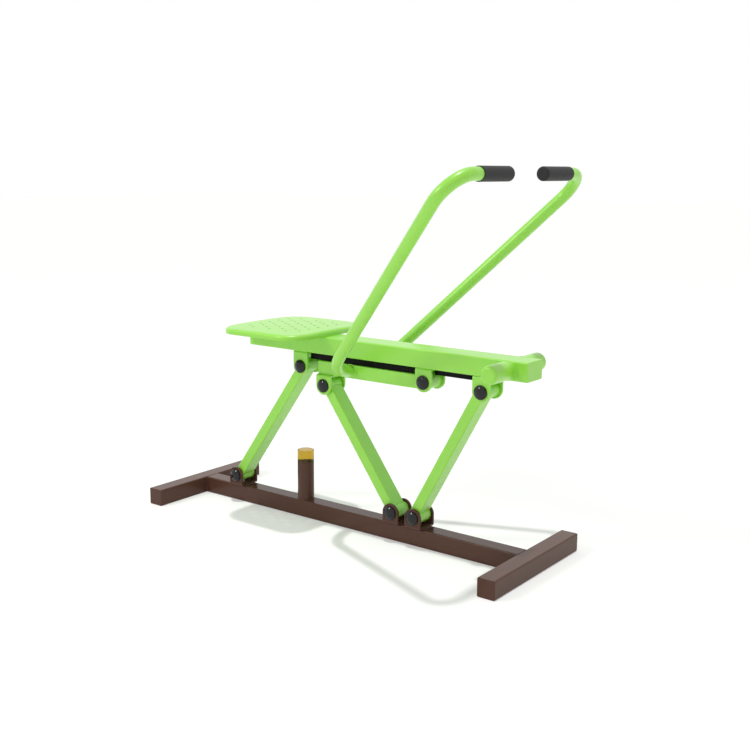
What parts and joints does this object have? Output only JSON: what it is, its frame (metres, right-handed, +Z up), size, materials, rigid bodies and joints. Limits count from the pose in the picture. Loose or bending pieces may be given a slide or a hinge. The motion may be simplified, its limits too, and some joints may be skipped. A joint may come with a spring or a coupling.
{
  "type": "outdoor riding and rowing trainer",
  "caption": "Outdoor fitness trainer with a perforated seat on a linked beam, swinging handlebars, foot pegs and an H base; pulling the bars lifts the rider.",
  "frame": {"origin": "on the ground, under the middle of the base", "axes": "+X from the seat towards the foot pegs, +Y to the seated rider's left, +Z up"},
  "size_m": [1.22, 0.649, 1.016],
  "materials": {
    "green_paint": "glossy powder coat, apple green",
    "brown_paint": "glossy powder coat, dark brown",
    "black_cap": "glossy black",
    "grip_rubber": "matt black",
    "strip_rubber": "matt black",
    "amber_buffer": "clear amber polyurethane",
    "zinc_steel": "zinc plated",
    "nylon": "natural nylon"
  },
  "bodies": {
    "base": {"base_rail": "brown_paint", "rear_foot": "brown_paint", "front_foot": "brown_paint", "foot_end_plates": "brown_paint", "rear_base_bracket": "brown_paint", "mid_base_bracket": "brown_paint", "front_base_bracket": "brown_paint", "bumper_post": "brown_paint", "bumper_buffer": "amber_buffer", "rear_base_axle": "zinc_steel", "mid_base_axle": "zinc_steel", "front_base_axle": "zinc_steel", "base_axle_nuts": "zinc_steel", "base_axle_caps": "black_cap"},
    "rear_link": {"rear_link_tube": "green_paint", "rear_link_sleeves": "green_paint", "rear_base_bushes": "nylon", "rear_beam_bushes": "nylon"},
    "front_link": {"front_link_tube": "green_paint", "front_link_sleeves": "green_paint", "front_base_bushes": "nylon"},
    "mid_link": {"mid_link_tube": "green_paint", "mid_link_sleeves": "green_paint", "mid_base_bushes": "nylon"},
    "seat_beam": {"seat_beam": "green_paint", "beam_end_plates": "green_paint", "rear_beam_bracket": "green_paint", "lever_bracket": "green_paint", "front_beam_bracket": "green_paint", "rear_strip": "strip_rubber", "front_strip": "strip_rubber", "seat_pan": "green_paint", "seat_bars": "green_paint", "left_foot_peg": "green_paint", "right_foot_peg": "green_paint", "left_peg_end": "green_paint", "right_peg_end": "green_paint", "rear_beam_axle": "zinc_steel", "lever_axle": "zinc_steel", "front_beam_axle": "zinc_steel", "front_beam_spacer": "zinc_steel", "beam_axle_nuts": "zinc_steel", "beam_axle_caps": "black_cap"},
    "lever": {"lever_tube": "green_paint", "lever_end_plate": "green_paint", "lever_clevis": "green_paint", "lever_sleeve": "green_paint", "lever_bushes": "nylon", "left_handlebar": "green_paint", "right_handlebar": "green_paint", "left_grip": "grip_rubber", "right_grip": "grip_rubber", "lever_rear_axle": "zinc_steel", "lever_rear_spacer": "zinc_steel", "lever_rear_nuts": "zinc_steel", "lever_rear_caps": "black_cap"}
  },
  "joints": [
    {"name": "rear_link_swing", "type": "hinge", "parent": "base", "child": "rear_link", "pos_m": [-0.422, 0, 0.081], "axis": [0, -1, 0], "range_deg": [0, 35]},
    {"name": "beam_tilt", "type": "hinge", "parent": "rear_link", "child": "seat_beam", "pos_m": [-0.155, 0, 0.453], "axis": [0, -1, 0], "range_deg": [-38.7, 0]},
    {"name": "front_link_swing", "type": "hinge", "parent": "base", "child": "front_link", "pos_m": [0.241, 0, 0.081], "axis": [0, -1, 0], "range_deg": [0, 36.2]},
    {"name": "lever_pull", "type": "hinge", "parent": "seat_beam", "child": "lever", "pos_m": [0.27, 0, 0.459], "axis": [0, -1, 0], "range_deg": [0, 47.8]},
    {"name": "mid_link_swing", "type": "hinge", "parent": "base", "child": "mid_link", "pos_m": [0.167, 0, 0.081], "axis": [0, -1, 0], "range_deg": [0, 30.5]}
  ],
  "couplings": [
    {"joint": "beam_tilt", "follows": "rear_link_swing", "ratio": -1.1057},
    {"joint": "front_link_swing", "follows": "rear_link_swing", "ratio": 1.0336},
    {"joint": "lever_pull", "follows": "rear_link_swing", "ratio": 1.3647},
    {"joint": "mid_link_swing", "follows": "rear_link_swing", "ratio": 0.8701}
  ]
}
